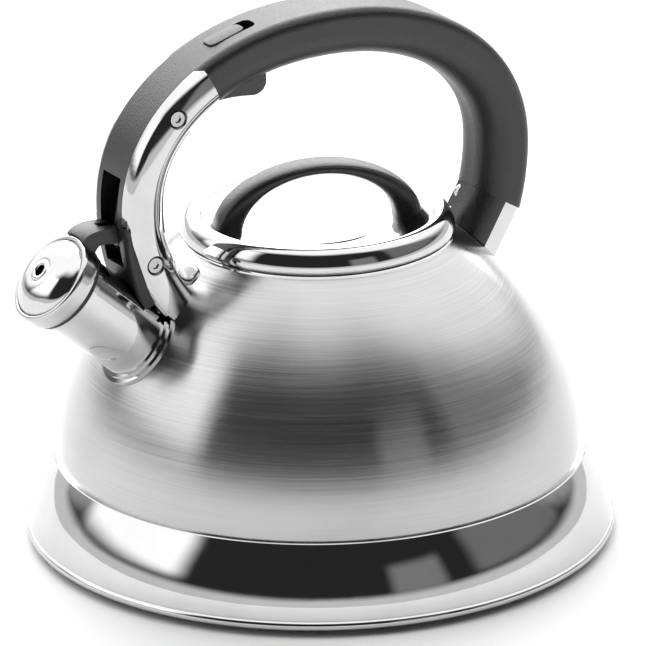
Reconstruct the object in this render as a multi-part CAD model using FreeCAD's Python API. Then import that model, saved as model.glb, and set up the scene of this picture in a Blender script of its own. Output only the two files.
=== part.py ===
import FreeCAD, Part
import math
import os
from FreeCAD import Vector

# Stovetop whistling kettle, in millimetres.
# The origin is the centre of the base's bottom face and +Z is up.
# The spout points to -X and the main handle's arch stands in the XZ plane.

os.makedirs("parts", exist_ok=True)

# ---- driving dimensions: vessel ----
SHEET = 0.8                    # steel sheet of the vessel
DOME_FOOT_R = 97.5             # dome radius at the seam
SEAM_Z = 31.7                  # height of the seam between dome and skirt
DOME_RISE = 39.0               # how long the dome stays upright above the seam
DOME_TOP_R = 50.35             # dome radius at the neck
DOME_TOP_Z = 114.65
DOME_TOP_SLOPE = 37.2          # degrees the dome slopes down at the neck
DOME_SHOULDER = 23.6           # how long that slope is held
NECK_BORE_R = 45.0
NECK_TOP_Z = 115.7
NECK_BOTTOM_Z = 107.0
SKIRT_TOP_R = 99.0
SKIRT_KNEE_UPPER = (105.5, 21.5)
SKIRT_KNEE_LOWER = (108.0, 15.0)
SKIRT_FOOT_R = 109.0
SKIRT_FOOT_Z = 6.2
SEAM_LAP = 0.2                 # the skirt's top edge stops this far below the seam
BAND_DROP = 6.0                # how far the joining band reaches down inside the seam
BEAD_R = 1.8                   # rolled bead at the foot
BEAD_OUTER_R = 110.0
BEAD_BOTTOM_Z = 2.2
PLATE_R = 95.0                 # bonded heat-spreading plate
PLATE_COVER = 0.8
SPREADER_TOP_Z = 4.4

# ---- spout and cap ----
AXIS_TILT = 41.3               # degrees the spout rises above level
CAP_X = -111.3                 # centre of the cap's front rim
CAP_Z = 118.8
TUBE_R = 14.85
TUBE_WALL = 0.9
MOUTH_S = 8.8                  # distance of the mouth behind the cap's front rim
DOME_S = 62.0                  # the tube is drawn this far back, then trimmed
LIP_R = 15.9
LIP_LENGTH = 2.2
COLLAR_REACH = (1.4, 3.0)      # radial reach of the collar's two steps
COLLAR_LIFT = (2.8, 1.4)       # height of the two steps over the dome
CAP_R = 17.65
CAP_SKIRT = 7.4
CAP_WALL = 0.8
CAP_CROWN = 5.6                # height of the domed face
CAP_FACE_R = 15.6
CAP_HOLE_R = 2.2
WHISTLE_HOLE_R = 1.5
GASKET_R = 15.4
GASKET_BORE_R = 11.0

# ---- lid ----
RING_OUTER_R = 50.8
RING_TOP_Z = 125.0
RING_MID_Z = 119.2
RING_SHEET = 1.0
RING_CREST_R = 45.2
RING_INNER_R = 41.4
RECESS_Z = 117.5
RECESS_R = 38.6
CENTRE_R = 22.0
CENTRE_EDGE_Z = 119.3
CENTRE_TOP_Z = 121.6
LID_SKIRT_R = 44.1
LID_SKIRT_BOTTOM_Z = 104.0
LID_TURN = -15.0               # degrees the lid's handle is turned in plan
LID_ARCH_OUTER = (40.0, 25.4)  # half width and rise of the arch's outside
LID_ARCH_INNER = (28.6, 21.4)
LID_ARCH_Z = 117.8
LID_ARCH_WIDTH = 13.0
LID_ARCH_ROUND = 1.7
LID_STRIP = 1.0                # thickness of the handle's top strip
LID_SCREW_X = 33.6

# ---- main handle ----
ARCH_X = -0.65
ARCH_Z = 139.0                 # height at which both legs are widest
ARCH_A = 76.5                  # half width of the centre line
ARCH_B = 54.8                  # rise of the centre line
ARCH_POWER = 2.11
LEG_BEND_R = 82.25             # centre-line radius of the legs below ARCH_Z
HANDLE_WIDTH = 26.0
HANDLE_THICK = 18.7
INNER_ROUND = 10.0             # corners of the handle's section towards the hand gap
OUTER_ROUND = 4.0              # corners of the handle's section on its outside
HANDLE_WALL = 2.5
CHEEK_SHEET = 1.2
CHEEK_INNER_Y = 8.5            # the cheeks wrap the inside corners as far as this Y
CHEEK_OUTER_Y = 9.6            # and the outside corners as far as this one
WEB_TOP_Z = 129.0              # the bracket's inner web reaches up to here
BRACKET_TOP = 128.0            # degrees over the arch at which the cheeks end
FRONT_END = 203.0              # degrees at which the grip's front leg ends
REAR_END = -22.0               # and its rear leg, before it is cut square
LEG_NECK_Z = 135.5             # below this the front leg sits inside the bracket
SLOT_Z = (119.0, 153.0)        # slot in the front leg's outside for the cap's arm
LINER_THICK = 1.4
STRAP_WIDTH = 14.0
STRAP_THICK = 2.5
CHANNEL_Y = 6.4                # half width of the mechanism channel
CHANNEL_END = 100.0            # degrees over the arch at which the channel stops
REAR_SHEET = 1.5
REAR_ROUND = 3.5               # outer corners of the rear bracket
REAR_NEAR_CHEEK = 8.0          # depth of the rear bracket's near cheek
REAR_TONGUE = 22.0             # how far the plastic tongue runs down the rear bracket
STUB_LENGTH = 32.0
STUB_TILT = 30.5               # degrees the rear stub leans from upright
STUB_OUTER = (80.5, 113.0)     # outer corner where the plastic ends

# ---- mechanism ----
UPPER_PIVOT = (-64.3, 173.6)
LOWER_PIVOT = (-74.6, 120.0)
PIN_R = 2.0
RUNNING_GAP = 0.05
CRANK_R = 8.95
CRANK_LEAD = 40.0              # degrees the crank leans outwards at rest
CRANK_PIN_R = 1.2
DIMPLE_R = 3.7                 # recess round each screw
SCREW_HEAD_R = 2.8
SCREW_SOCKET_R = 1.5           # corner radius of the hexagonal socket
TRIGGER_Y = 5.7
FINGER_Y = 1.6
FINGER_HALF = 1.1              # half thickness of the trigger's lower finger
FINGER_GAP = 0.55              # gap between the finger and the crank pin at rest
ARM_Y = 6.0
ARM_SLOT_Y = 2.0
TAB_X = -36.0
TAB_LENGTH = 15.0
TAB_WIDTH = 7.4
TAB_TRAVEL = 4.5
TAB_TOP = 0.25                 # how far the tab stands above the grip
TAB_GAP = 0.3
CLEAR = 0.3


# ---- helpers ----
def at(x, z, y=0.0):
    return Vector(x, y, z)


def save(shape, name):
    shape.exportStep("parts/" + name + ".step")


def bezier(p0, p1, p2, p3, count=24):
    points = []
    for i in range(count + 1):
        t = i / count
        k = ((1 - t) ** 3, 3 * t * (1 - t) ** 2, 3 * t * t * (1 - t), t ** 3)
        x = k[0] * p0[0] + k[1] * p1[0] + k[2] * p2[0] + k[3] * p3[0]
        z = k[0] * p0[1] + k[1] * p1[1] + k[2] * p2[1] + k[3] * p3[1]
        points.append((x, z))
    return points


def ellipse(cx, cz, rx, rz, start, end, count=16):
    points = []
    for i in range(count + 1):
        a = math.radians(start + (end - start) * i / count)
        points.append((cx + rx * math.cos(a), cz + rz * math.sin(a)))
    return points


def shifted(points, distance):
    # moves a path sideways, to its right when it is followed from first to last
    result = []
    last = len(points) - 1
    for i, (x, z) in enumerate(points):
        a = points[max(i - 1, 0)]
        b = points[min(i + 1, last)]
        tx = b[0] - a[0]
        tz = b[1] - a[1]
        length = math.hypot(tx, tz)
        result.append((x + distance * tz / length, z - distance * tx / length))
    return result


def smooth_edge(points):
    curve = Part.BSplineCurve()
    curve.interpolate([at(x, z) for x, z in points])
    return curve.toShape()


def straight(a, b):
    return Part.makeLine(at(a[0], a[1]), at(b[0], b[1]))


def spin(face):
    return face.revolve(Vector(0, 0, 0), Vector(0, 0, 1), 360)


def face_within(edges):
    return Part.Face(Part.Wire(Part.__sortEdges__(edges)))


def joined(shapes):
    whole = shapes[0]
    for shape in shapes[1:]:
        whole = whole.fuse(shape)
    return whole


def spun_sheet(points, thickness):
    inner = shifted(points, -thickness)
    if abs(points[-1][0]) < 0.001:
        inner[-1] = (0.0, points[-1][1] - thickness)
    edges = [smooth_edge(points), straight(points[-1], inner[-1])]
    edges.append(smooth_edge(inner))
    edges.append(straight(inner[0], points[0]))
    return spin(face_within(edges))


def spun_polygon(points):
    wire = Part.makePolygon([at(r, z) for r, z in points + [points[0]]])
    return spin(Part.Face(wire))


def plate(points, y0, y1):
    wire = Part.makePolygon([at(x, z, y0) for x, z in points + [points[0]]])
    return Part.Face(wire).extrude(Vector(0, y1 - y0, 0))


def rod_y(centre, radius, y0, y1):
    return Part.makeCylinder(radius, y1 - y0, at(centre[0], centre[1], y0), Vector(0, 1, 0))


def both_sides(shape):
    return shape.fuse(shape.mirror(Vector(0, 0, 0), Vector(0, 1, 0)))


def polar(centre, radius, angle):
    a = math.radians(angle)
    return (centre[0] + radius * math.cos(a), centre[1] + radius * math.sin(a))


# ---- spout axis ----
tilt = math.radians(AXIS_TILT)
OUT = Vector(-math.cos(tilt), 0, math.sin(tilt))
RIM = at(CAP_X, CAP_Z)


def along(s):
    return RIM - OUT * s


def spout_rod(radius, s0, s1):
    return Part.makeCylinder(radius, s1 - s0, along(s1), OUT)


def spout_ring(outer, inner, s0, s1):
    return spout_rod(outer, s0, s1).cut(spout_rod(inner, s0 - 1, s1 + 1))


def spin_on_axis(points):
    # points are (radius, s) pairs, revolved about the spout's axis
    side = Vector(math.sin(tilt), 0, math.cos(tilt))
    corners = [along(s) + side * r for r, s in points + [points[0]]]
    return Part.Face(Part.makePolygon(corners)).revolve(RIM, OUT, 360)


# ---- vessel ----
slope = math.radians(DOME_TOP_SLOPE)
dome_line = bezier(
    (DOME_FOOT_R, SEAM_Z),
    (DOME_FOOT_R, SEAM_Z + DOME_RISE),
    (DOME_TOP_R + DOME_SHOULDER * math.cos(slope), DOME_TOP_Z - DOME_SHOULDER * math.sin(slope)),
    (DOME_TOP_R, DOME_TOP_Z),
)


def dome_solid(grow):
    # the dome as a filled body, its surface moved outwards by grow
    line = shifted(dome_line, grow)
    top = line[-1]
    foot = line[0]
    edges = [smooth_edge(line), straight(top, (0, top[1])), straight((0, top[1]), (0, foot[1]))]
    edges.append(straight((0, foot[1]), foot))
    return spin(face_within(edges))


dome_outside = dome_solid(0)
spout_hole = spout_rod(TUBE_R - TUBE_WALL, MOUTH_S - 1, DOME_S)
dome_shell = spun_sheet(dome_line, SHEET).cut(spout_hole)
save(dome_shell, "dome_shell")

inner_top = shifted(dome_line, -SHEET)[-1]
neck_ring = spun_polygon([
    inner_top,
    (DOME_TOP_R, DOME_TOP_Z),
    (DOME_TOP_R, NECK_TOP_Z - 0.4),
    (DOME_TOP_R - 0.4, NECK_TOP_Z),
    (NECK_BORE_R + 0.5, NECK_TOP_Z),
    (NECK_BORE_R, NECK_TOP_Z - 0.5),
    (NECK_BORE_R, NECK_BOTTOM_Z),
    (NECK_BORE_R + SHEET, NECK_BOTTOM_Z),
    (NECK_BORE_R + SHEET, inner_top[1]),
])
save(neck_ring, "neck_ring")

skirt_foot = (SKIRT_FOOT_R, SKIRT_FOOT_Z)
skirt_top = (SKIRT_TOP_R, SEAM_Z - SEAM_LAP)
skirt_line = bezier(skirt_foot, SKIRT_KNEE_LOWER, SKIRT_KNEE_UPPER, skirt_top)
base_skirt = spun_sheet(skirt_line, SHEET)
save(base_skirt, "base_skirt")

skirt_inner_top = shifted(skirt_line, -SHEET)[-1]
seam_band = spun_polygon([
    (DOME_FOOT_R, SEAM_Z),
    (DOME_FOOT_R - SHEET, SEAM_Z),
    (DOME_FOOT_R - SHEET, SEAM_Z - BAND_DROP),
    (DOME_FOOT_R, SEAM_Z - BAND_DROP),
    (DOME_FOOT_R, skirt_inner_top[1] - 1.6),
    skirt_inner_top,
    skirt_top,
    (SKIRT_TOP_R - 0.3, SEAM_Z + 0.1),
])
seam_band = seam_band.cut(base_skirt).cut(dome_shell)
save(seam_band, "seam_band")

bead_centre = (BEAD_OUTER_R - BEAD_R, BEAD_BOTTOM_Z + BEAD_R)


def on_bead(r):
    # point on the upper side of the bead's round at radius r
    return (r, bead_centre[1] + math.sqrt(BEAD_R ** 2 - (r - bead_centre[0]) ** 2))


lip_inner_r = SKIRT_FOOT_R - SHEET
lip_outside = on_bead(SKIRT_FOOT_R)
lip_inside = on_bead(lip_inner_r)
bead_far = polar(bead_centre, BEAD_R, 233.13)
lip_corner = (lip_inner_r, SKIRT_FOOT_Z)
bead_face = face_within([
    Part.Arc(at(*lip_outside), at(*bead_far), at(*lip_inside)).toShape(),
    straight(lip_inside, lip_corner),
    straight(lip_corner, skirt_foot),
    straight(skirt_foot, lip_outside),
])
base_bead = spin(bead_face).cut(base_skirt)
save(base_bead, "base_bead")

base_floor = Part.makeCylinder(lip_inner_r, SHEET, at(0, SPREADER_TOP_Z)).cut(base_bead)
save(base_floor, "base_floor")
spreader = Part.makeCylinder(PLATE_R - PLATE_COVER, SPREADER_TOP_Z - PLATE_COVER, at(0, PLATE_COVER))
save(spreader, "spreader_plate")
cover = Part.makeCylinder(PLATE_R, SPREADER_TOP_Z).cut(spreader)
foot_edges = [edge for edge in cover.Edges if edge.BoundBox.ZMax < 0.01]
save(cover.makeChamfer(0.5, foot_edges), "base_cover")

# ---- spout ----
spout_tube = spout_ring(TUBE_R, TUBE_R - TUBE_WALL, MOUTH_S, DOME_S).cut(dome_outside)
save(spout_tube, "spout_tube")
mouth_lip = spout_ring(LIP_R, TUBE_R, MOUTH_S, MOUTH_S + LIP_LENGTH)
save(mouth_lip, "spout_lip")
collar = None
for reach, lift in zip(COLLAR_REACH, COLLAR_LIFT):
    step = dome_solid(lift).common(spout_ring(TUBE_R + reach, TUBE_R, MOUTH_S, DOME_S)).cut(dome_outside)
    collar = step if collar is None else collar.fuse(step)
collar = collar.removeSplitter()
save(collar, "spout_collar")

# ---- spout cap ----
cap_shell = spout_ring(CAP_R, CAP_R - CAP_WALL, 0.6, CAP_SKIRT)
cap_rim = spin_on_axis([
    (CAP_R, 0.6),
    (CAP_R - CAP_WALL - 0.6, 0.6),
    (CAP_FACE_R, 0.4),
    (CAP_FACE_R, -0.3),
    (CAP_R - 0.9, -0.3),
    (CAP_R - 0.2, 0.0),
])
cap_shell = cap_shell.fuse(cap_rim).removeSplitter()
save(cap_shell, "cap_shell")

crown_top = (CAP_HOLE_R + 1.2, CAP_CROWN)
crown = bezier((CAP_FACE_R, 0.0), (CAP_FACE_R - 2.0, 4.4), (6.5, CAP_CROWN), crown_top, 14)
crown += [(CAP_HOLE_R + 0.5, CAP_CROWN - 0.35), (CAP_HOLE_R, CAP_CROWN - 1.1)]
face_outer = [(r, -h) for r, h in crown]
face_inner = [(r - 0.5 * (r > 4), -h + 0.7) for r, h in reversed(crown)]
cap_face = spin_on_axis(face_outer + face_inner)
save(cap_face, "cap_face")

plate_r = CAP_R - CAP_WALL
disc_r = plate_r - 1.2
for name, s in (("whistle_front_disc", 1.0), ("whistle_rear_disc", 3.4)):
    save(spout_ring(disc_r, WHISTLE_HOLE_R, s, s + 0.5), name)
whistle_spacer = spout_ring(disc_r, disc_r - 2.0, 1.5, 3.4)
save(whistle_spacer, "whistle_spacer")
cap_insert = spin_on_axis([
    (plate_r, 0.6),
    (plate_r, CAP_SKIRT - 0.2),
    (GASKET_BORE_R, CAP_SKIRT - 0.2),
    (GASKET_BORE_R, 3.9),
    (disc_r, 3.9),
    (disc_r, 0.6),
])
save(cap_insert, "cap_insert")
cap_gasket = spout_ring(GASKET_R, GASKET_BORE_R, CAP_SKIRT - 0.2, MOUTH_S - CLEAR)
save(cap_gasket, "cap_gasket")


# ---- handle centre line ----
def arch_point(angle):
    a = math.radians(angle)
    c = math.cos(a)
    s = math.sin(a)
    x = ARCH_A * math.copysign(abs(c) ** (2 / ARCH_POWER), c)
    z = ARCH_B * abs(s) ** (2 / ARCH_POWER)
    return (ARCH_X + x, ARCH_Z + z)


def leg_point(side, angle):
    a = math.radians(angle)
    x = ARCH_A - LEG_BEND_R * (1 - math.cos(a))
    return (ARCH_X + side * x, ARCH_Z - LEG_BEND_R * math.sin(a))


def centre_line(front, rear):
    # front and rear are angles: over the arch 0 is the rear and 180 the front, and
    # values beyond that range run down the legs
    points = []
    if front > 180:
        steps = max(2, int((front - 180) / 5))
        for i in range(steps):
            points.append(leg_point(-1, (front - 180) * (1 - i / steps)))
    start = min(front, 180)
    stop = max(rear, 0)
    steps = max(6, int((start - stop) / 7))
    for i in range(steps + 1):
        points.append(arch_point(start + (stop - start) * i / steps))
    if rear < 0:
        steps = max(2, int(-rear / 5))
        for i in range(1, steps + 1):
            points.append(leg_point(1, -rear * i / steps))
    return points


def section(start, heading, width, low, high, low_round, high_round):
    # rounded rectangle across a path: width in Y, from low to high towards the outside
    normal = Vector(-heading.z, 0, heading.x)
    side = Vector(0, 1, 0)
    half = width / 2
    corners = [(1, 1, high, high_round), (-1, 1, high, high_round)]
    corners += [(-1, -1, low, low_round), (1, -1, low, low_round)]
    if low_round <= 0:
        ring = [start + side * (sy * half) + normal * level for sy, sn, level, radius in corners]
        return Part.makePolygon(ring + [ring[0]])
    edges = []
    ends = []
    for sy, sn, level, radius in corners:
        centre = start + side * (sy * (half - radius)) + normal * (level - sn * radius)
        across = side * (sy * radius)
        upward = normal * (sn * radius)
        middle = centre + (across + upward) * math.sqrt(0.5)
        if sy == sn:
            first, last = centre + across, centre + upward
        else:
            first, last = centre + upward, centre + across
        edges.append(Part.Arc(first, middle, last).toShape())
        ends.append((first, last))
    for i in range(4):
        edges.append(Part.makeLine(ends[i][1], ends[(i + 1) % 4][0]))
    return Part.Wire(Part.__sortEdges__(edges))


def sweep(points, width, low, high, low_round=0, high_round=0):
    spine = Part.Wire(smooth_edge(points))
    first = spine.Edges[0]
    heading = first.tangentAt(first.FirstParameter).normalize()
    start = first.valueAt(first.FirstParameter)
    profile = section(start, heading, width, low, high, low_round, high_round)
    return spine.makePipeShell([profile], True, False)


half_thick = HANDLE_THICK / 2
grip_line = centre_line(FRONT_END, REAR_END)
grip = sweep(grip_line, HANDLE_WIDTH, -half_thick, half_thick, INNER_ROUND, OUTER_ROUND)

# ---- front bracket: one steel stamping with two cheeks and an inner web ----
bracket_line = []
for i in range(9):
    bracket_line.append(arch_point(BRACKET_TOP + (180 - BRACKET_TOP) * i / 8))
bracket_line += bezier(leg_point(-1, 3.0), (-76.6, 122.0), (-71.0, 113.0), (-57.5, 96.0), 5)
bracket_line.reverse()
bracket_full = sweep(bracket_line, HANDLE_WIDTH, -half_thick, half_thick, INNER_ROUND, OUTER_ROUND)
inset = half_thick - CHEEK_SHEET
core_width = HANDLE_WIDTH - 2 * CHEEK_SHEET
core_rounds = (INNER_ROUND - CHEEK_SHEET, OUTER_ROUND - CHEEK_SHEET)
bracket_core = sweep(bracket_line, core_width, -inset, inset, *core_rounds)
bracket_skin = bracket_full.cut(bracket_core)


def block(x0, x1, y0, y1, z0, z1):
    return Part.makeBox(x1 - x0, y1 - y0, z1 - z0, Vector(x0, y0, z0))


# the opening between the cheeks: all along the outside, and on the inside above the web
open_outside = sweep(bracket_line, 2 * CHEEK_OUTER_Y, 0, half_thick + 4)
open_above = block(-120, -40, -CHEEK_INNER_Y, CHEEK_INNER_Y, WEB_TOP_Z, 220)
neck_top = LEG_NECK_Z + 1.5
front_edge = [(-100, neck_top), (-86.4, neck_top), (-84.6, LEG_NECK_Z - 1.0)]
front_edge += [(-83.6, 129.0), (-80.6, 119.4), (-78.0, 112.0), (-74.8, 104.9)]
front_edge += [(-69.4, 98.0), (-69.4, 80), (-100, 80)]
lower_front = plate(front_edge, -20, 20)
bracket = bracket_skin.cut(open_outside).cut(open_above).cut(lower_front)

# rounded upper end of each cheek
top_mid = arch_point(BRACKET_TOP + 4.5)
end_disc = rod_y(top_mid, half_thick + 0.4, -17, 17)
top_end = arch_point(BRACKET_TOP)
heading = math.degrees(math.atan2(top_end[1] - top_mid[1], top_end[0] - top_mid[0]))
beyond = []
for reach, turn in ((16, -90), (40, -50), (40, 50), (16, 90)):
    beyond.append(polar(top_mid, reach, heading + turn))
past_end = plate(beyond, -16, 16).cut(end_disc)
bracket = bracket.cut(past_end)

# room for the cheeks in the grip, drawn larger than the grip so that it cuts cleanly
cheek_room = sweep(bracket_line, HANDLE_WIDTH + 4, -half_thick - 2, half_thick + 2)
below_neck = block(-120, -40, -20, 20, 60, LEG_NECK_Z)
between_cheeks = block(-120, -40, -CHEEK_INNER_Y, CHEEK_INNER_Y, 60, 220)
for kept in (bracket_core, between_cheeks, open_outside, below_neck, past_end):
    cheek_room = cheek_room.cut(kept)
neck_y = HANDLE_WIDTH / 2 - CHEEK_SHEET - 0.1
leg_room = below_neck.cut(bracket_core).cut(plate(front_edge, -neck_y, neck_y))

tube_room = spout_rod(TUBE_R + 0.5, 0, DOME_S)
collar_room = spout_rod(TUBE_R + COLLAR_REACH[1] + CLEAR, 0, DOME_S)
collar_room = collar_room.common(dome_solid(COLLAR_LIFT[0] + CLEAR))
bracket = bracket.cut(dome_outside).cut(tube_room).cut(collar_room)

for pivot in (UPPER_PIVOT, LOWER_PIVOT):
    bracket = bracket.cut(rod_y(pivot, DIMPLE_R, -20, 20))
save(bracket, "front_bracket")

weld_tab = dome_solid(1.5).cut(dome_outside)
weld_tab = weld_tab.common(block(-60.0, -52.6, -9.0, 9.0, 95, 118)).cut(bracket_full)
save(weld_tab, "front_weld_tab")

# ---- grip moulding ----
grip = grip.cut(cheek_room).cut(leg_room)
grip = grip.cut(tube_room).cut(dome_solid(3.0))

channel_line = centre_line(FRONT_END + 2, CHANNEL_END)
channel = sweep(channel_line, 2 * CHANNEL_Y, -half_thick - 1, half_thick - HANDLE_WALL)
grip = grip.cut(channel)
grip = grip.cut(block(-100, -80, -CHANNEL_Y, CHANNEL_Y, SLOT_Z[0], SLOT_Z[1]))

# rear end of the grip, square to the stub
lean = math.radians(STUB_TILT)
DOWN = Vector(-math.sin(lean), 0, -math.cos(lean))
ACROSS = Vector(math.cos(lean), 0, -math.sin(lean))
stub_origin = at(STUB_OUTER[0], STUB_OUTER[1]) - ACROSS * half_thick


def stub_box(length, width, low, high, low_round=0, high_round=0):
    # low to high runs from the hand gap's side to the outside
    profile = section(stub_origin, DOWN, width, low, high, low_round, high_round)
    return Part.Face(profile).extrude(DOWN * length)


below_end = Part.makeBox(80, 80, 60, Vector(-40, -40, 0))
below_end.Placement = FreeCAD.Placement(stub_origin, FreeCAD.Rotation(Vector(0, 0, 1), DOWN))
grip = grip.cut(below_end)

# ---- rear bracket: a channel whose near cheek is shallow, round a plastic tongue ----
stub_full = stub_box(STUB_LENGTH, HANDLE_WIDTH, -half_thick, half_thick, INNER_ROUND, REAR_ROUND)
rear_inner = half_thick - REAR_SHEET
rear_core = stub_box(STUB_LENGTH, HANDLE_WIDTH - 2 * REAR_SHEET, -half_thick - 1, rear_inner, 2.0, 2.0)
near_side = stub_box(STUB_LENGTH, HANDLE_WIDTH + 2, -half_thick - 1, half_thick - REAR_NEAR_CHEEK)
near_side = near_side.cut(block(0, 140, 0, 20, 60, 160))
rear_bracket = stub_full.cut(rear_core).cut(near_side).cut(dome_outside)
tongue_full = stub_box(REAR_TONGUE, HANDLE_WIDTH, -half_thick, half_thick, INNER_ROUND, REAR_ROUND)
rear_tongue = tongue_full.common(rear_core.fuse(near_side)).cut(dome_solid(CLEAR))

# steel strap inside the grip, from the arch's middle to the rear tongue
strap_line = centre_line(CHANNEL_END - 4.0, REAR_END)
strap = sweep(strap_line, STRAP_WIDTH, -STRAP_THICK / 2, STRAP_THICK / 2).cut(below_end)
save(strap, "handle_strap")
grip = grip.cut(strap)

# ---- thumb tab ----
top_point = None
for i in range(200):
    angle = 60 + 90 * i / 200
    p = arch_point(angle)
    q = arch_point(angle + 0.2)
    t = Vector(p[0] - q[0], 0, p[1] - q[1]).normalize()
    s = at(p[0], p[1]) + Vector(-t.z, 0, t.x) * half_thick
    if top_point is None or abs(s.x - TAB_X) < abs(top_point.x - TAB_X):
        top_point = s
        TANGENT = t
UP_TAB = Vector(-TANGENT.z, 0, TANGENT.x)


def tab_block(length, width, low, high, shift, corner):
    start = top_point + TANGENT * (shift - length / 2) + UP_TAB * low
    box = Part.makeBox(length, width, high - low)
    frame = FreeCAD.Matrix(TANGENT.x, 0, UP_TAB.x, start.x,
                           0, 1, 0, -width / 2,
                           TANGENT.z, 0, UP_TAB.z, start.z,
                           0, 0, 0, 1)
    # x runs along the handle, y across it and z outwards
    box = box.transformGeometry(frame)
    if corner <= 0:
        return box
    upright = []
    for edge in box.Edges:
        if abs(edge.tangentAt(edge.FirstParameter).dot(UP_TAB)) > 0.99:
            upright.append(edge)
    return box.makeFillet(corner, upright)


slot_length = TAB_LENGTH + TAB_TRAVEL + 2 * TAB_GAP
tab_shift = -TAB_TRAVEL / 2
thumb_tab = tab_block(TAB_LENGTH, TAB_WIDTH, -HANDLE_WALL - 0.8, TAB_TOP, tab_shift, 2.6)
foot_top = -HANDLE_WALL - 0.8
tab_foot = tab_block(TAB_LENGTH + 2.0, TAB_WIDTH + 3.6, foot_top - 1.4, foot_top, tab_shift, 1.5)
thumb_tab = thumb_tab.fuse(tab_foot).removeSplitter()
save(thumb_tab, "thumb_tab")
grip = grip.cut(tab_block(slot_length, TAB_WIDTH + 2 * TAB_GAP, -12, 3, 0, 2.9))

# ---- pivot pins and screws ----
PIN_END_Y = HANDLE_WIDTH / 2 - CHEEK_SHEET
HEAD_LOW = PIN_END_Y - 0.3
HEAD_TOP = PIN_END_Y + 0.6
CUP_LOW = PIN_END_Y - 1.0
CUP_TOP = PIN_END_Y + 1.0
pins = []
cups = []
for pivot in (UPPER_PIVOT, LOWER_PIVOT):
    grip = grip.cut(rod_y(pivot, PIN_R, -20, 20))
    grip = grip.cut(both_sides(rod_y(pivot, DIMPLE_R, CUP_LOW, 20)))
    pin = rod_y(pivot, PIN_R, -HEAD_TOP, HEAD_TOP)
    hexagon = [polar(pivot, SCREW_SOCKET_R, 60 * i) for i in range(6)]
    socket = plate(hexagon, PIN_END_Y - 0.1, 20)
    head = rod_y(pivot, SCREW_HEAD_R, HEAD_LOW, HEAD_TOP).cut(socket)
    pins.append(pin.cut(both_sides(socket)).fuse(both_sides(head)).removeSplitter())
    cup = rod_y(pivot, DIMPLE_R, CUP_LOW, CUP_TOP)
    cup = cup.cut(rod_y(pivot, SCREW_HEAD_R, HEAD_LOW, 20)).cut(rod_y(pivot, PIN_R, 0, 20))
    cone_low = PIN_END_Y - 0.1
    cone_start = at(pivot[0], pivot[1], cone_low)
    cone = Part.makeCone(SCREW_HEAD_R, DIMPLE_R - 0.1, CUP_TOP - cone_low, cone_start, Vector(0, 1, 0))
    cups.append(both_sides(cup.cut(cone)))
save(grip, "grip")
save(joined(pins), "pivot_pins")
save(joined(cups), "pivot_cups")

# ---- liner that closes the channel on the front leg's inner side ----
liner_line = centre_line(187.5, 143.0)
liner = sweep(liner_line, 2 * CHANNEL_Y, -half_thick, -half_thick + LINER_THICK)
save(liner, "channel_liner")

# ---- trigger ----
hub = rod_y(UPPER_PIVOT, 4.3, -FINGER_Y - 1.2, FINGER_Y + 1.2)
pad_line = bezier((-60.0, 169.6), (-52.0, 174.2), (-44.0, 176.2), (-34.0, 175.3), 8)
pad_line += ellipse(-29.0, 179.6, 5.2, 4.8, 260, 360, 8)
pad_line += [(-24.0, 184.6), (-38.0, 184.2), (-52.0, 180.4), (-62.0, 177.6)]
pad = plate(pad_line, -TRIGGER_Y, TRIGGER_Y)
pad = pad.cut(both_sides(rod_y(UPPER_PIVOT, 6.2, FINGER_Y + 1.2, 10)))
crank_pin = polar(LOWER_PIVOT, CRANK_R, 90 + CRANK_LEAD)
finger_end = (crank_pin[0] - CRANK_PIN_R - FINGER_GAP - FINGER_HALF, crank_pin[1] - 1.0)
finger_path = bezier((-66.5, 171.5), (-76.0, 158.0), (-82.6, 146.0), finger_end, 14)
finger_edge = shifted(finger_path, FINGER_HALF) + list(reversed(shifted(finger_path, -FINGER_HALF)))
finger = plate(finger_edge, -FINGER_Y, FINGER_Y)
trigger = hub.fuse(pad).fuse(finger).cut(rod_y(UPPER_PIVOT, PIN_R + RUNNING_GAP, -20, 20))
trigger = trigger.removeSplitter()
save(trigger, "trigger")

# ---- cap arm ----
hub = rod_y(LOWER_PIVOT, 4.2, -ARM_Y, ARM_Y)
arm_top = bezier((-86.4, 134.5), (-90.0, 135.0), (-99.0, 136.0), (-101.0, 131.0), 10)
arm_back = bezier((-97.0, 126.0), (-94.6, 127.4), (-94.8, 129.5), (-92.5, 129.4), 6)
neck_line = [(-76.6, 124.0), (-80.6, 130.4)] + arm_top + arm_back
neck_line += [(-86.2, 128.9), (-82.4, 124.2), (-78.6, 118.6)]
neck = plate(neck_line, -ARM_Y, ARM_Y)
arm = hub.fuse(neck)
fork = plate([(-91.5, 140), (-91.5, 118.5), (-84.0, 110), (-60, 110), (-60, 140)], -ARM_SLOT_Y, ARM_SLOT_Y)
arm = arm.cut(fork)
cap_room = spout_rod(CAP_R, -1, CAP_SKIRT).fuse(spout_rod(GASKET_R + 0.2, CAP_SKIRT, MOUTH_S))
mouth_room = spout_rod(LIP_R + 0.5, MOUTH_S - CLEAR, DOME_S)
arm = arm.cut(cap_room).cut(mouth_room)
arm = arm.cut(rod_y(LOWER_PIVOT, PIN_R + RUNNING_GAP, -20, 20))
arm = arm.cut(rod_y(crank_pin, CRANK_PIN_R, -5, 5)).removeSplitter()
save(arm, "cap_arm")
save(rod_y(crank_pin, CRANK_PIN_R, -5, 5), "crank_pin")


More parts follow.
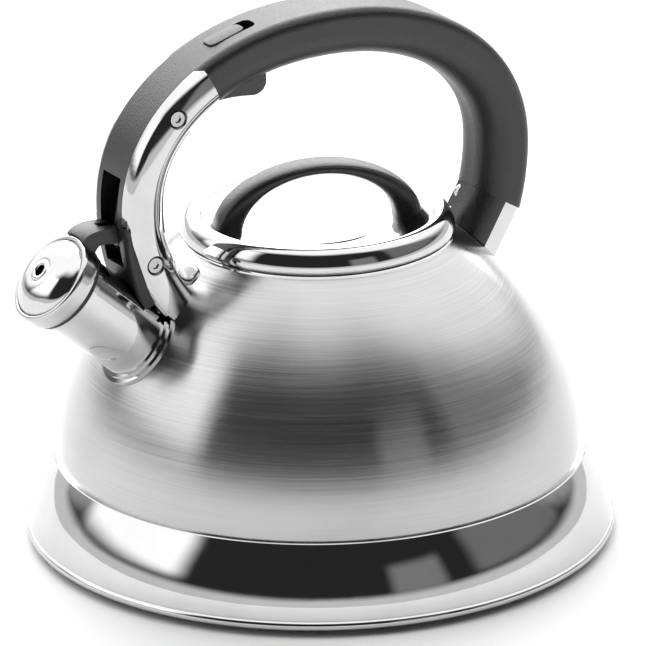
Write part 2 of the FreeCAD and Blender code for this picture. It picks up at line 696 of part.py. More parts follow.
# ---- springs ----
def coil(centre, radius, wire, y0, turns):
    # spring wire with eight flats, wound round an axis along Y
    pitch = wire * 1.2
    steps = 16
    turn_points = []
    for i in range(int(turns * steps) + 1):
        x, z = polar(centre, radius, 360 * i / steps)
        turn_points.append(Vector(x, y0 + pitch * i / steps, z))
    curve = Part.BSplineCurve()
    curve.interpolate(turn_points)
    first = turn_points[0]
    ring = []
    for i in range(9):
        a = math.pi * i / 4
        ring.append(first + Vector(wire / 2 * math.cos(a), wire / 2 * math.sin(a), 0))
    return Part.Wire(curve.toShape()).makePipeShell([Part.makePolygon(ring)], True, True)


save(coil(UPPER_PIVOT, 3.0, 0.7, 3.4, 2.5), "trigger_spring")
save(coil(LOWER_PIVOT, 3.0, 0.7, -1.2, 3), "cap_spring")

# ---- rear screws: driven into the tongue from the hand gap, beside the far cheek ----
HEAD_SINK = 4.2                # the screw heads sit this far below the hand gap's side
driven = []
for distance in (4.0, 13.0):
    seat = stub_origin + DOWN * distance - ACROSS * (half_thick - HEAD_SINK) + Vector(0, 7.6, 0)
    shank = Part.makeCylinder(1.5, 7.0, seat, ACROSS)
    ball = Part.makeSphere(3.0, seat + ACROSS * 1.2)
    beyond_head = Part.makeCylinder(4.0, 4.0, seat, ACROSS)
    driven.append(shank.fuse(ball.cut(beyond_head)))
rear_screws = joined(driven)
head_room = stub_box(REAR_TONGUE, 9.4, -half_thick - 1, -half_thick + HEAD_SINK)
head_room.translate(Vector(0, 7.1, 0))
rear_tongue = rear_tongue.cut(head_room)
save(rear_bracket, "rear_bracket")
save(rear_tongue.cut(rear_screws), "rear_tongue")
save(rear_screws, "rear_screws")

# ---- lid ----
outer_reach = RING_OUTER_R - RING_CREST_R
inner_reach = RING_CREST_R - RING_INNER_R
inner_mid_z = RING_MID_Z + 1.2
ring_line = ellipse(RING_CREST_R, RING_MID_Z, outer_reach, RING_TOP_Z - RING_MID_Z, -32, 90, 16)
ring_line += ellipse(RING_CREST_R, inner_mid_z, inner_reach, RING_TOP_Z - inner_mid_z, 100, 176, 8)
lid_ring = spun_sheet(ring_line, RING_SHEET)
save(lid_ring, "lid_ring")

ring_end = ring_line[-1]
wall_end = (RECESS_R - 1.0, RECESS_Z)
step_foot = (CENTRE_R + 1.2, RECESS_Z + 0.5)
step_low = (CENTRE_R + 0.6, CENTRE_EDGE_Z - 0.5)
step_high = (CENTRE_R, CENTRE_EDGE_Z - 0.1)
step_head = (CENTRE_R - 1.2, CENTRE_EDGE_Z + 0.1)
crown_start = (CENTRE_R - 4.0, CENTRE_EDGE_Z + 0.5)
pan_line = bezier(ring_end, (ring_end[0] - 0.1, RECESS_Z + 0.8), (RECESS_R + 1.5, RECESS_Z), wall_end, 8)
pan_line += [(CENTRE_R + 6.0, RECESS_Z), (CENTRE_R + 2.4, RECESS_Z + 0.05)]
pan_line += bezier(step_foot, step_low, step_high, step_head, 4)
pan_line += bezier(crown_start, (12.0, CENTRE_TOP_Z - 0.6), (6.0, CENTRE_TOP_Z), (0.0, CENTRE_TOP_Z), 8)
lid_pan = spun_sheet(pan_line, SHEET).cut(lid_ring)

under = RECESS_Z - SHEET
flange_low = under - 0.7
lid_skirt = spun_polygon([
    (LID_SKIRT_R, LID_SKIRT_BOTTOM_Z),
    (LID_SKIRT_R, flange_low),
    (47.8, flange_low),
    (47.8, under),
    (34.0, under),
    (34.0, flange_low),
    (LID_SKIRT_R - SHEET, flange_low),
    (LID_SKIRT_R - SHEET, LID_SKIRT_BOTTOM_Z),
])
lid_skirt = lid_skirt.cut(lid_pan)
lid_seal = spun_polygon([
    (LID_SKIRT_R, 106.5),
    (NECK_BORE_R - CLEAR, 108.5),
    (NECK_BORE_R - CLEAR, 109.5),
    (LID_SKIRT_R, 111.5),
])
save(lid_seal, "lid_seal")

# handle arch of the lid, drawn along X and then turned
outside = ellipse(0, LID_ARCH_Z, LID_ARCH_OUTER[0], LID_ARCH_OUTER[1], 0, 180, 28)
inside = ellipse(0, LID_ARCH_Z, LID_ARCH_INNER[0], LID_ARCH_INNER[1], 180, 0, 28)
edges = [smooth_edge(outside), smooth_edge(inside)]
edges += [straight(outside[-1], inside[0]), straight(inside[-1], outside[0])]
half_width = LID_ARCH_WIDTH / 2
arch_face = face_within(edges)
arch_face.translate(Vector(0, -half_width, 0))
arch = arch_face.extrude(Vector(0, LID_ARCH_WIDTH, 0))
long_edges = [edge for edge in arch.Edges if edge.BoundBox.ZLength > 5]
arch = arch.makeFillet(LID_ARCH_ROUND, long_edges)
split_rx = LID_ARCH_OUTER[0] - LID_STRIP
split_rz = LID_ARCH_OUTER[1] - LID_STRIP
inner_part = plate(ellipse(0, LID_ARCH_Z, split_rx, split_rz, -8, 188, 30), -20, 20)
pan_room = block(-60, 60, -60, 60, 100, LID_ARCH_Z + 0.05)
lid_handle = arch.common(inner_part).cut(pan_room)
lid_strip = arch.cut(inner_part).cut(pan_room)

tab_halves = []
screw_halves = []
for side in (-1, 1):
    ends = sorted((side * 30, side * 40.2))
    tab_halves.append(block(ends[0], ends[1], -3.2, 3.2, RECESS_Z, RECESS_Z + 0.9))
    screw_x = side * LID_SCREW_X
    shank = Part.makeCylinder(1.5, 9.0, Vector(screw_x, 0, RECESS_Z - 2.6))
    head = Part.makeCylinder(3.0, 1.4, Vector(screw_x, 0, flange_low - 1.4))
    screw_halves.append(shank.fuse(head))
tabs = joined(tab_halves)
lid_screws = joined(screw_halves)
for piece in (lid_handle, lid_strip, tabs, lid_screws):
    piece.rotate(Vector(0, 0, 0), Vector(0, 0, 1), LID_TURN)
lid_reach = Part.makeCylinder(RING_INNER_R - 0.3, 60, at(0, 100))
lid_handle = lid_handle.common(lid_reach).cut(lid_pan).cut(tabs).cut(lid_screws)
lid_strip = lid_strip.common(lid_reach).cut(lid_pan).cut(tabs)
tabs = tabs.cut(lid_pan).cut(lid_screws)
save(lid_handle, "lid_handle")
save(lid_strip, "lid_handle_strip")
save(tabs, "lid_handle_tabs")
save(lid_screws, "lid_screws")
save(lid_pan.cut(lid_screws), "lid_pan")
save(lid_skirt.cut(lid_screws), "lid_skirt")
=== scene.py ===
import math

import bmesh
import bpy
from mathutils import Matrix, Vector


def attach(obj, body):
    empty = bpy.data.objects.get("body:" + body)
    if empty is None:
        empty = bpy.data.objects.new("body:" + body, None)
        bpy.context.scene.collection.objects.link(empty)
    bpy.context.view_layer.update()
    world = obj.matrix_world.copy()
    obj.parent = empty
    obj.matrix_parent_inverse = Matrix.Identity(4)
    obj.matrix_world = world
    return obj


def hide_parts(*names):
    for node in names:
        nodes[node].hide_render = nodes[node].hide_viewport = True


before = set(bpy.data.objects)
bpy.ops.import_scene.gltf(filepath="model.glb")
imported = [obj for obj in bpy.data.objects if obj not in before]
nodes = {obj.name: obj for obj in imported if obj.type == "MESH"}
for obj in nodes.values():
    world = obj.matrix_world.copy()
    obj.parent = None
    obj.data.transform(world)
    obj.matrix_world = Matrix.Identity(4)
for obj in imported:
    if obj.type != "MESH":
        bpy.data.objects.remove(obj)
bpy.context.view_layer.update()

MM = 0.001
scene = bpy.context.scene

# ---- camera: where it stands round the kettle, in metres and radians ----
CAMERA_AZIMUTH = math.radians(-30.0)
CAMERA_DISTANCE = 2.0828676
CAMERA_HEIGHT = 0.8502341
CAMERA_PITCH = 0.3544431
CAMERA_PAN = 0.0008171
CAMERA_ROLL = -0.0113624
CAMERA_LENS = 334.365
SENSOR = 36.0


def make_camera():
    data = bpy.data.cameras.new("studio_camera")
    data.lens = CAMERA_LENS
    data.sensor_width = SENSOR
    data.clip_start = 0.1
    data.clip_end = 30.0
    camera = bpy.data.objects.new("studio_camera", data)
    scene.collection.objects.link(camera)
    cp, sp = math.cos(CAMERA_PITCH), math.sin(CAMERA_PITCH)
    forward = Vector((math.sin(CAMERA_PAN) * cp, math.cos(CAMERA_PAN) * cp, -sp))
    right = Vector((math.cos(CAMERA_PAN), -math.sin(CAMERA_PAN), 0.0))
    up = right.cross(forward)
    c, s = math.cos(CAMERA_ROLL), math.sin(CAMERA_ROLL)
    axis_x = right * c + up * s
    axis_y = up * c - right * s
    turn = Matrix.Rotation(CAMERA_AZIMUTH, 4, "Z")
    pose = Matrix.Identity(4)
    for row in range(3):
        pose[row][0] = axis_x[row]
        pose[row][1] = axis_y[row]
        pose[row][2] = -forward[row]
    pose[1][3] = -CAMERA_DISTANCE
    pose[2][3] = CAMERA_HEIGHT
    camera.matrix_world = turn @ pose
    scene.camera = camera


# ---- node-tree helpers ----
class Tree:
    """Builds a node tree. node() returns the new node, math() and remap() return an output socket."""

    def __init__(self, tree):
        self.tree = tree

    def node(self, kind, inputs=None, **settings):
        n = self.tree.nodes.new(kind)
        for key, value in settings.items():
            setattr(n, key, value)
        for key, value in (inputs or {}).items():
            socket = n.inputs[key]
            if isinstance(value, bpy.types.NodeSocket):
                self.tree.links.new(value, socket)
            else:
                socket.default_value = value
        return n

    def math(self, operation, a, b=0.0):
        return self.node("ShaderNodeMath", {0: a, 1: b}, operation=operation).outputs[0]

    def times(self, a, b):
        return self.math("MULTIPLY", a, b)

    def plus(self, a, b):
        return self.math("ADD", a, b)

    def length(self, a, b):
        return self.math("SQRT", self.plus(self.times(a, a), self.times(b, b)))

    def remap(self, value, low, high, to_low=0.0, to_high=1.0, smooth=True):
        kind = "SMOOTHSTEP" if smooth else "LINEAR"
        inputs = {0: value, 1: low, 2: high, 3: to_low, 4: to_high}
        return self.node("ShaderNodeMapRange", inputs, interpolation_type=kind).outputs[0]


# ---- studio: soft walls of light and shade far away, and a pale floor ----
# Directions are in degrees. Azimuth 0 is the camera's side and grows towards its right.
# Elevation 0 is the horizon.
# Each soft box: azimuth, half width, low and high elevation, edge softness, strength.
SOFT_BOXES = [
    (-85.0, 27.0, 13.0, 48.0, 6.0, 1.70),     # large soft box on the left
    (39.0, 11.0, 8.0, 30.0, 3.0, 0.26),       # small grey reflector in front on the right
    (88.0, 24.0, 10.0, 58.0, 4.0, 0.20),      # and a taller one beside it
    (-147.0, 15.0, 10.0, 70.0, 6.0, 4.00),    # bright wall behind on the left
]
ROOM_LEVEL = 0.03
TABLE_GLOW = 0.85                # the pale table's far end, seen just above the horizon
TABLE_EDGE = 7.0
TABLE_BLUR = 3.0
CEILING = 1.62
CEILING_LOW = 61.0               # elevation at which the ceiling light starts in front
CEILING_DROP = 56.0              # how far that comes down behind
CEILING_TURN = (30.0, 152.0)     # azimuths between which it comes down
CEILING_BLUR = (-10.0, 12.0)
BACKDROP = 4.4
BACKDROP_HALF = 32.0             # half width of the backdrop, behind the kettle
BACKDROP_BLUR = 8.0
BACKDROP_FOOT = (2.0, 12.0)
BACKDROP_HEAD = (75.0, 50.0)


def studio_light(t, azimuth, elevation):
    """Brightness of the surroundings in one direction."""
    total = t.remap(elevation, TABLE_EDGE + TABLE_BLUR, TABLE_EDGE - TABLE_BLUR, ROOM_LEVEL, TABLE_GLOW)
    for centre, half, low, high, edge, strength in SOFT_BOXES:
        away = t.math("ABSOLUTE", t.math("SUBTRACT", azimuth, centre))
        across = t.remap(away, half + edge, half - edge)
        up = t.remap(elevation, low - edge, low + edge)
        down = t.remap(elevation, high + edge, high - edge)
        part = t.times(t.times(up, down), across)
        total = t.plus(total, t.times(part, strength))
    sideways = t.math("ABSOLUTE", azimuth)
    start = t.remap(sideways, *CEILING_TURN, CEILING_LOW, CEILING_LOW - CEILING_DROP)
    ceiling = t.remap(t.math("SUBTRACT", elevation, start), *CEILING_BLUR, 0.0, CEILING)
    backdrop_side = 180.0 - BACKDROP_HALF
    behind = t.remap(sideways, backdrop_side - BACKDROP_BLUR, backdrop_side + BACKDROP_BLUR)
    foot = t.remap(elevation, *BACKDROP_FOOT)
    head = t.remap(elevation, *BACKDROP_HEAD)
    backdrop = t.times(t.times(behind, foot), t.times(head, BACKDROP))
    return t.math("MAXIMUM", t.math("MAXIMUM", total, ceiling), backdrop)


def make_world():
    world = bpy.data.worlds.new("studio")
    scene.world = world
    world.use_nodes = True
    world.node_tree.nodes.clear()
    t = Tree(world.node_tree)
    direction = t.node("ShaderNodeTexCoord").outputs["Generated"]
    turn = {"Vector": direction, "Angle": -CAMERA_AZIMUTH}
    seen = t.node("ShaderNodeVectorRotate", turn, rotation_type="Z_AXIS").outputs[0]
    x, y, z = t.node("ShaderNodeSeparateXYZ", {0: seen}).outputs
    degrees = 180.0 / math.pi
    azimuth = t.times(t.math("ARCTAN2", x, t.times(y, -1.0)), degrees)
    elevation = t.times(t.math("ARCSINE", z), degrees)
    light = t.node("ShaderNodeBackground", {"Color": studio_light(t, azimuth, elevation)})
    white = t.node("ShaderNodeBackground", {"Color": (1.0, 1.0, 1.0, 1.0)})
    direct = t.node("ShaderNodeLightPath").outputs["Is Camera Ray"]
    world_shader = t.node("ShaderNodeMixShader", {0: direct, 1: light.outputs[0], 2: white.outputs[0]})
    t.node("ShaderNodeOutputWorld", {0: world_shader.outputs[0]})


# ---- materials ----
def make_material(name):
    material = bpy.data.materials.new(name)
    material.use_nodes = True
    material.node_tree.nodes.clear()
    return material, Tree(material.node_tree)


def shaded(t, inputs):
    """Ends a material with one principled shader."""
    shader = t.node("ShaderNodeBsdfPrincipled", inputs)
    t.node("ShaderNodeOutputMaterial", {0: shader.outputs[0]})


def stretched(t, x, y, z):
    """Object coordinates in metres, scaled apart along the three axes."""
    place = t.node("ShaderNodeTexCoord").outputs["Object"]
    return t.node("ShaderNodeVectorMath", {0: place, 1: (x, y, z)}, operation="MULTIPLY").outputs[0]


def noise(t, vector, detail=3.0, roughness=0.6):
    inputs = {"Vector": vector, "Scale": 1.0, "Detail": detail, "Roughness": roughness}
    return t.node("ShaderNodeTexNoise", inputs).outputs[0]


def even_noise(t, per_metre, detail=3.0, roughness=0.6):
    return noise(t, stretched(t, per_metre, per_metre, per_metre), detail, roughness)


def mixed(t, a, b, share):
    """Two patterns added, the first with the given share."""
    return t.plus(t.times(a, share), t.times(b, 1.0 - share))


def bump(t, height, strength, distance):
    inputs = {"Height": height, "Strength": strength, "Distance": distance}
    return t.node("ShaderNodeBump", inputs).outputs[0]


def brushed_material():
    """Brushed steel: fine lines run level round the dome and blur the reflections up and down."""
    m, t = make_material("brushed_steel")
    fine = noise(t, stretched(t, 14.0, 14.0, 2600.0), detail=4.0, roughness=0.7)
    broad = noise(t, stretched(t, 6.0, 6.0, 420.0))
    cloud = even_noise(t, 22.0, detail=2.0)
    lines = mixed(t, fine, broad, 0.8)
    steel = t.remap(lines, 0.3, 0.7, 0.42, 0.53, smooth=False)
    shaded(t, {
        "Base Color": t.plus(steel, t.remap(cloud, 0.3, 0.7, -0.015, 0.015)),
        "Roughness": t.remap(lines, 0.3, 0.7, 0.17, 0.24, smooth=False),
        "Normal": bump(t, lines, 0.05, 0.3 * MM),
        "Tangent": t.node("ShaderNodeTangent", direction_type="RADIAL", axis="Z").outputs[0],
        "Metallic": 1.0, "Anisotropic": 0.82, "Anisotropic Rotation": 0.25,
    })
    return m


def polished_material(name, tone, low, high):
    """Mirror-polished steel with faint wiping marks and a breath of haze."""
    m, t = make_material(name)
    haze = even_noise(t, 55.0, detail=4.0)
    wipes = noise(t, stretched(t, 900.0, 900.0, 160.0), detail=2.0)
    shaded(t, {
        "Base Color": t.remap(haze, 0.3, 0.7, tone - 0.02, tone + 0.02),
        "Roughness": t.remap(mixed(t, haze, wipes, 0.7), 0.35, 0.65, low, high, smooth=False),
        "Normal": bump(t, wipes, 0.012, 0.2 * MM),
        "Metallic": 1.0,
    })
    return m


HANDLE_X = -0.65 * MM            # centre of the main handle's arch
HANDLE_Z = 139.0 * MM
HANDLE_HALF = 76.5 * MM          # half width and rise of its centre line
HANDLE_RISE = 54.8 * MM
LEG_CENTRE_X = 5.1 * MM          # the front leg bends round this point
LEG_BEND = 82.25 * MM
LEG_BLEND = 4.0 * MM             # height over which the leg's bend gives way to the arch
CROWN_OFFSET = 2.5 * MM          # the crown lies this far towards the hand gap
CROWN_CURVE = -30.0              # how fast it falls off, per metre


def across_handle(t):
    """Distance in metres outwards from the main handle's centre line, along its front half."""
    x, _, z = t.node("ShaderNodeSeparateXYZ", {0: stretched(t, 1.0, 1.0, 1.0)}).outputs
    level = t.plus(z, -HANDLE_Z)
    over_x = t.math("DIVIDE", t.plus(x, -HANDLE_X), HANDLE_HALF)
    over_z = t.math("DIVIDE", level, HANDLE_RISE)
    size = t.length(over_x, over_z)
    steep = t.length(t.math("DIVIDE", over_x, HANDLE_HALF), t.math("DIVIDE", over_z, HANDLE_RISE))
    on_arch = t.math("DIVIDE", t.times(t.math("SUBTRACT", size, 1.0), size), steep)
    on_leg = t.math("SUBTRACT", t.length(t.plus(x, -LEG_CENTRE_X), level), LEG_BEND)
    above = t.remap(level, 0.0, LEG_BLEND)
    below = t.math("SUBTRACT", 1.0, above)
    return t.plus(t.times(on_arch, above), t.times(on_leg, below))


def bracket_material():
    """Polished steel of the front bracket; a bump bends its shading as if it were pressed slightly
    crowned across its width.
    """
    m, t = make_material("bracket_steel")
    off = t.plus(across_handle(t), CROWN_OFFSET)
    crown = t.times(t.times(off, off), CROWN_CURVE)
    haze = even_noise(t, 60.0, detail=4.0)
    shaded(t, {
        "Base Color": t.remap(haze, 0.3, 0.7, 0.54, 0.60),
        "Roughness": t.remap(haze, 0.35, 0.65, 0.04, 0.08),
        "Normal": bump(t, crown, 1.0, 1.0),
        "Metallic": 1.0,
    })
    return m


def plastic_material(name, dark, light, rough):
    """Moulded plastic with a fine pebbled grain."""
    m, t = make_material(name)
    grain = even_noise(t, 1500.0, detail=2.0, roughness=0.5)
    patch = even_noise(t, 60.0)
    shaded(t, {
        "Base Color": t.remap(mixed(t, grain, patch, 0.6), 0.35, 0.65, dark, light),
        "Roughness": t.remap(grain, 0.3, 0.7, rough - 0.05, rough + 0.06),
        "Normal": bump(t, grain, 0.5, 0.3 * MM),
        "Specular IOR Level": 0.6,
    })
    return m


def satin_material(name, tone, rough):
    """Plain sheet steel as it leaves the press, faintly cloudy."""
    m, t = make_material(name)
    cloud = even_noise(t, 80.0, detail=4.0)
    shaded(t, {
        "Base Color": t.remap(cloud, 0.3, 0.7, tone - 0.05, tone + 0.04),
        "Roughness": t.remap(cloud, 0.3, 0.7, rough - 0.05, rough + 0.07),
        "Metallic": 1.0,
    })
    return m


def rubber_material():
    """Dull black silicone."""
    m, t = make_material("silicone_rubber")
    shaded(t, {"Base Color": t.remap(even_noise(t, 300.0), 0.3, 0.7, 0.02, 0.035), "Roughness": 0.55})
    return m


def floor_material():
    """Plain pale paper."""
    m, t = make_material("pale_floor")
    colour = t.remap(even_noise(t, 3.0, detail=2.0), 0.3, 0.7, 0.87, 0.9)
    shaded(t, {"Base Color": colour, "Roughness": 0.7, "Specular IOR Level": 0.2})
    return m


FLOOR_HALF = 4.0
FLOOR_DROP = 0.0002              # the floor lies just under the kettle's foot


def make_floor():
    mesh = bpy.data.meshes.new("floor")
    bm = bmesh.new()
    bmesh.ops.create_grid(bm, x_segments=2, y_segments=2, size=FLOOR_HALF)
    bm.to_mesh(mesh)
    bm.free()
    floor = bpy.data.objects.new("floor", mesh)
    floor.location.z = -FLOOR_DROP
    scene.collection.objects.link(floor)
    mesh.materials.append(floor_material())


# ---- shape helpers; outlines are in millimetres ----
def spline(p, q, r, e, t):
    """Catmull-Rom value between q and r."""
    square = 2 * p - 5 * q + 4 * r - e
    cube = 3 * q - p - 3 * r + e
    return 0.5 * (2 * q + (r - p) * t + square * t * t + cube * t ** 3)


def curve_through(points, steps=6):
    """A smooth line through the given points."""
    line = []
    last = len(points) - 1
    for i in range(last):
        a, b = points[max(i - 1, 0)], points[i]
        c, d = points[i + 1], points[min(i + 2, last)]
        for k in range(steps):
            line.append(tuple(spline(p, q, r, e, k / steps) for p, q, r, e in zip(a, b, c, d)))
    line.append(tuple(points[last]))
    return line


def new_piece(name, mesh_builder, material, body, slot, *replaced):
    """Makes a piece from a bmesh, gives it its look and ties it to its body."""
    mesh = bpy.data.meshes.new(name)
    mesh_builder.normal_update()
    bmesh.ops.recalc_face_normals(mesh_builder, faces=mesh_builder.faces)
    for face in mesh_builder.faces:
        face.smooth = True
    mesh_builder.to_mesh(mesh)
    mesh_builder.free()
    mesh.materials.append(material)
    piece = bpy.data.objects.new(name, mesh)
    scene.collection.objects.link(piece)
    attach(piece, body)
    if replaced:
        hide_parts(*replaced)


ON_AXIS = 0.001                  # a point nearer the axis than this is a single vertex


def turned(outline, place, segments=160):
    """A turned shape: a closed outline of (radius, height) swept round the Z axis of place."""
    bm = bmesh.new()
    rings = []
    for radius, height in outline:
        ring = []
        for i in range(segments if radius > ON_AXIS else 1):
            a = math.tau * i / segments
            spot = Vector((radius * math.cos(a), radius * math.sin(a), height)) * MM
            ring.append(bm.verts.new(place @ spot))
        rings.append(ring)
    for low, high in zip(rings, rings[1:] + rings[:1]):
        for i in range(segments):
            j = (i + 1) % segments
            corners = [low[i % len(low)], low[j % len(low)], high[j % len(high)], high[i % len(high)]]
            distinct = list(dict.fromkeys(corners))
            if len(distinct) > 2:
                bm.faces.new(distinct)
    return bm


UPRIGHT = Matrix.Identity(4)
SPOUT_TILT = math.radians(41.3)
CAP_RIM = Vector((-111.3, 0.0, 118.8)) * MM       # centre of the cap's front rim


def spout_axis():
    """Placement whose Z axis runs out along the spout from the cap's rim."""
    out = Vector((-math.cos(SPOUT_TILT), 0.0, math.sin(SPOUT_TILT)))
    side = Vector((math.sin(SPOUT_TILT), 0.0, math.cos(SPOUT_TILT)))
    across = out.cross(side)
    place = Matrix((side, across, out)).transposed().to_4x4()
    return Matrix.Translation(CAP_RIM) @ place


# ---- spout cap; heights run outwards from the front rim ----
CAP_R = 17.63
CAP_WALL_R = 16.85               # inside of the cap's skirt
CAP_FACE_R = 15.5
CAP_HOLE_R = 2.2
FACE_SHEET = 0.7
SEAL_R = 11.2                    # bore of the seal


def make_cap_face():
    """Domed face with a raised ring round its hole."""
    hole = [(CAP_HOLE_R - 0.05, 3.4), (CAP_HOLE_R, 4.9), (2.45, 5.35), (2.95, 5.55), (3.5, 5.45)]
    crown = [(4.0, 5.12), (4.5, 5.02), (5.6, 5.12), (7.2, 5.0), (9.4, 4.45), (11.6, 3.45), (13.6, 2.0)]
    crown += [(14.9, 0.7)]
    outside = curve_through(hole + crown + [(CAP_FACE_R, -0.35)])
    inside = [(r - 0.25, h - FACE_SHEET) for r, h in reversed(outside) if r > CAP_HOLE_R + 0.3]
    bm = turned(outside + inside, spout_axis())
    new_piece("cap_dome", bm, looks["polished_steel"], "spout_cap", "polished_steel", "cap_face")


def make_cap_shell():
    """Skirt with a rolled front rim."""
    skirt = [(CAP_WALL_R, -1.6), (CAP_WALL_R, -6.3), (CAP_WALL_R + 0.1, -6.55), (17.25, -6.6)]
    flank = [(17.55, -6.5), (CAP_R, -6.2), (CAP_R, -4.4)]
    rolled = [(CAP_R, -1.7), (17.6, -0.9), (17.4, -0.25), (17.0, 0.12), (16.5, 0.22), (16.05, 0.1)]
    rolled += [(15.75, -0.3), (CAP_FACE_R + 0.15, -0.9)]
    bm = turned(skirt + flank + curve_through(rolled), spout_axis())
    new_piece("cap_skirt", bm, looks["cap_steel"], "spout_cap", "polished_steel", "cap_shell")


def make_cap_gasket():
    """Black silicone seal, widened out to the skirt: its black band between the cap and the tube is
    partly the seal and partly painted shade of the gap there.
    """
    front = [(SEAL_R, -6.7), (CAP_WALL_R - 0.15, -6.7), (CAP_WALL_R, -6.9)]
    back = [(CAP_WALL_R, -8.2), (CAP_WALL_R - 0.15, -8.45), (SEAL_R, -8.45)]
    bm = turned(front + back, spout_axis())
    new_piece("cap_seal_and_gap_shade", bm, looks["silicone"], "spout_cap", "silicone", "cap_gasket")


# ---- lid ----
def make_lid_ring():
    """Rolled rim with a broad slanting outer face."""
    foot = [(49.9, 116.0), (50.55, 116.9), (50.75, 118.2)]
    slant = [(50.45, 119.8), (49.65, 121.7), (48.6, 123.35)]
    crest = [(47.3, 124.45), (45.9, 124.93), (44.6, 124.85), (43.4, 124.35), (42.4, 123.65)]
    crest += [(41.6, 123.1)]
    inside = [(41.8, 122.2), (43.2, 123.3), (44.8, 123.9), (46.4, 123.6)]
    inside += [(48.2, 121.9), (49.4, 119.2), (49.5, 117.4), (49.1, 116.2)]
    bm = turned(curve_through(foot + slant + crest) + inside, UPRIGHT, 224)
    new_piece("lid_rim", bm, looks["polished_steel"], "lid", "polished_steel", "lid_ring")


def make_lid_pan():
    """Shallow dish that slopes in from the rim, with a low raised middle."""
    slope = [(43.0, 124.0), (41.8, 123.3), (40.2, 122.2), (37.8, 120.8), (35.0, 119.6), (31.5, 118.5)]
    flat = [(28.0, 117.95), (25.0, 117.85), (22.6, 118.0)]
    middle = [(20.4, 118.35), (16.0, 118.8), (10.0, 119.2), (5.0, 119.4), (0.0, 119.45)]
    under = [(0.0, 118.6), (15.0, 118.0), (22.0, 117.2), (28.0, 117.1), (36.0, 119.0), (42.0, 122.6)]
    bm = turned(curve_through(slope + flat + middle) + under, UPRIGHT, 192)
    new_piece("lid_plate", bm, looks["pan_steel"], "lid", "polished_steel", "lid_pan")


ARCH_OUTER = (40.0, 25.4)        # half width and rise of the lid handle's outside
ARCH_INNER = (29.2, 21.2)
ARCH_FOOT_Z = 117.75
ARCH_HALF_WIDTH = 6.5
ARCH_STEPS = 72
LID_TURN = math.radians(-15.0)
GROOVE = 0.22                    # depth of the line where the top strip meets the handle
GROOVE_LEVEL = 0.42              # its place between the middle (0) and the outside (1)
GROOVE_HALF = 0.09
ROUND_POWERS = (2.5, 3.2)        # roundness of the section's outer and inner half


def signed_power(value, power):
    return math.copysign(abs(value) ** power, value)


def arch_section(count=40):
    """Cross-section of the lid handle in units of its half width and half thickness."""
    points = []
    for i in range(count):
        a = math.tau * i / count
        c, v = math.cos(a), math.sin(a)
        power = 2.0 / ROUND_POWERS[0] if v > 0 else 2.0 / ROUND_POWERS[1]
        points.append((signed_power(c, power), signed_power(v, power)))
    return points


def make_lid_handle():
    """Arch with a rounded section, swept from foot to foot."""
    bm = bmesh.new()
    section = arch_section()
    loops = []
    turn = Matrix.Rotation(LID_TURN, 4, "Z")
    for i in range(ARCH_STEPS + 1):
        a = math.pi * i / ARCH_STEPS
        outer = Vector((ARCH_OUTER[0] * math.cos(a), 0.0, ARCH_OUTER[1] * math.sin(a)))
        inner = Vector((ARCH_INNER[0] * math.cos(a), 0.0, ARCH_INNER[1] * math.sin(a)))
        middle = (outer + inner) / 2
        half = (outer - inner) / 2
        loop = []
        for u, v in section:
            groove = GROOVE * max(0.0, 1.0 - abs(v - GROOVE_LEVEL) / GROOVE_HALF)
            spot = middle + half * v + Vector((0.0, u * (ARCH_HALF_WIDTH - groove), ARCH_FOOT_Z))
            loop.append(bm.verts.new(turn @ (spot * MM)))
        loops.append(loop)
    count = len(section)
    for low, high in zip(loops, loops[1:]):
        for k in range(count):
            bm.faces.new((low[k], low[(k + 1) % count], high[(k + 1) % count], high[k]))
    bm.faces.new(loops[0])
    bm.faces.new(list(reversed(loops[-1])))
    look = looks["dark_plastic"]
    new_piece("lid_arch", bm, look, "lid", "dark_plastic", "lid_handle", "lid_handle_strip")


# ---- foot of the front bracket: a rounded plate welded to the dome ----
# Control points of the dome's curve, as (radius, height).
DOME_CURVE = ((97.5, 31.7), (97.5, 70.7), (69.15, 100.38), (50.35, 114.65))
WELD_X = -56.4                   # middle of the plate
WELD_HALF = (3.9, 8.8)           # half its size along the spout's direction and across it
WELD_THICK = 1.45
WELD_SINK = 0.15                 # how far its edge sinks into the dome
WELD_CREST = 8                   # the higher, the flatter its top and the rounder its edge
WELD_CORNER = 0.7                # under 1, its outline is squarer than an ellipse
WELD_RINGS = 12
WELD_AROUND = 48
HALVINGS = 30


def dome_height(radius):
    """Height of the dome's surface at a radius, found by halving along its curve."""
    low, high = 0.0, 1.0
    for _ in range(HALVINGS):
        t = (low + high) / 2
        k = ((1 - t) ** 3, 3 * t * (1 - t) ** 2, 3 * t * t * (1 - t), t ** 3)
        r = sum(weight * point[0] for weight, point in zip(k, DOME_CURVE))
        if r > radius:
            low = t
        else:
            high = t
    return sum(weight * point[1] for weight, point in zip(k, DOME_CURVE))


def make_weld_plate():
    """Pillow-shaped plate that follows the dome; its dark grey steel is a painted reflection of the
    bracket's leg.
    """
    bm = bmesh.new()
    layers = []
    for k in range(WELD_RINGS + 1):
        share = k / WELD_RINGS
        rise = WELD_THICK * (1.0 - share ** WELD_CREST) - WELD_SINK
        ring = []
        for i in range(WELD_AROUND if k else 1):
            a = math.tau * i / WELD_AROUND
            x = WELD_X + WELD_HALF[0] * share * signed_power(math.cos(a), WELD_CORNER)
            y = WELD_HALF[1] * share * signed_power(math.sin(a), WELD_CORNER)
            z = dome_height(math.hypot(x, y)) + rise
            ring.append(bm.verts.new(Vector((x, y, z)) * MM))
        layers.append(ring)
    for low, high in zip(layers, layers[1:]):
        for i in range(WELD_AROUND):
            j = (i + 1) % WELD_AROUND
            corners = [low[i % len(low)], low[j % len(low)], high[j], high[i]]
            bm.faces.new(list(dict.fromkeys(corners)))
    new_piece("bracket_foot_plate", bm, looks["foot_steel_painted_reflection"], "kettle", "polished_steel", "front_weld_tab")


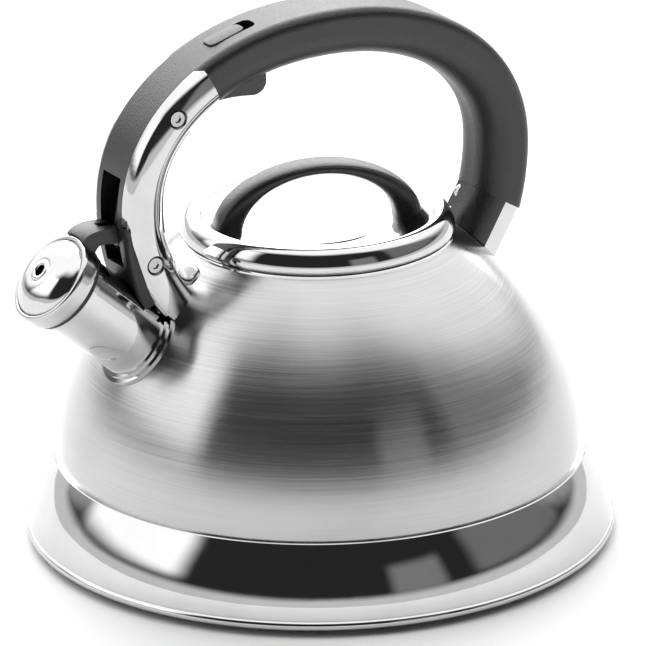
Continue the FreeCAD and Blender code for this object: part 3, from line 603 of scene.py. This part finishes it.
# ---- soft-edged copies of moulded parts ----
WELD_DISTANCE = 0.005 * MM       # vertices closer than this are one
FLAT_ANGLE = math.radians(2.0)
SHARP_ANGLE = math.radians(35.0)


def soften(node_name, new_name, body, slot, width):
    """Stands in for a CAD node with the same shape, its edges rounded."""
    bm = bmesh.new()
    bm.from_mesh(nodes[node_name].data)
    bmesh.ops.remove_doubles(bm, verts=bm.verts, dist=WELD_DISTANCE)
    bmesh.ops.dissolve_limit(bm, angle_limit=FLAT_ANGLE, verts=bm.verts, edges=bm.edges)
    sharp = []
    for edge in bm.edges:
        if len(edge.link_faces) == 2 and edge.calc_face_angle(0.0) > SHARP_ANGLE:
            sharp.append(edge)
    bmesh.ops.bevel(
        bm, geom=sharp, offset=width * MM, segments=3, profile=0.5, affect="EDGES", clamp_overlap=True,
    )
    new_piece(new_name, bm, looks[slot], body, slot, node_name)


# ---- the scene ----
scene.view_settings.view_transform = "Standard"
make_camera()
make_world()
make_floor()
looks = {
    "brushed_dome": brushed_material(),
    "polished_steel": polished_material("polished_steel", 0.58, 0.025, 0.06),
    "cap_steel": polished_material("cap_steel", 0.52, 0.05, 0.10),
    "pan_steel": polished_material("pan_steel", 0.66, 0.07, 0.12),
    # the foot plate's steel is toned down to dark grey: a painted reflection of the bracket's leg in the
    # dome
    "foot_steel_painted_reflection": polished_material("foot_steel_painted_reflection", 0.34, 0.10, 0.16),
    "bracket_steel": bracket_material(),
    # near-black steel for the pivot cups: painted shade of the recess they sit in
    "recess_painted_shade_steel": satin_material("recess_painted_shade_steel", 0.14, 0.25),
    "plain_steel": satin_material("sheet_steel", 0.45, 0.3),
    "fastener_steel": polished_material("screw_steel", 0.42, 0.12, 0.2),
    "dark_plastic": plastic_material("grained_plastic", 0.007, 0.014, 0.34),
    "strip_plastic": plastic_material("strip_plastic", 0.010, 0.018, 0.36),
    "silicone": rubber_material(),
    "aluminium_core": satin_material("aluminium", 0.75, 0.3),
}
for node in nodes.values():
    slot = node.data.materials[0].name.split(".")[0]
    if slot in looks:
        node.data.materials[0] = looks[slot]
nodes["front_bracket"].data.materials[0] = looks["bracket_steel"]
# the pivot cups' near-black steel is painted shade of their recess
nodes["pivot_cups"].data.materials[0] = looks["recess_painted_shade_steel"]
make_cap_face()
make_cap_shell()
make_cap_gasket()
make_lid_ring()
make_lid_pan()
make_lid_handle()
make_weld_plate()
soften("trigger", "trigger_lever", "trigger", "dark_plastic", 0.9)
soften("cap_arm", "cap_lever", "spout_cap", "dark_plastic", 0.7)
soften("thumb_tab", "thumb_slider", "thumb_tab", "strip_plastic", 0.35)
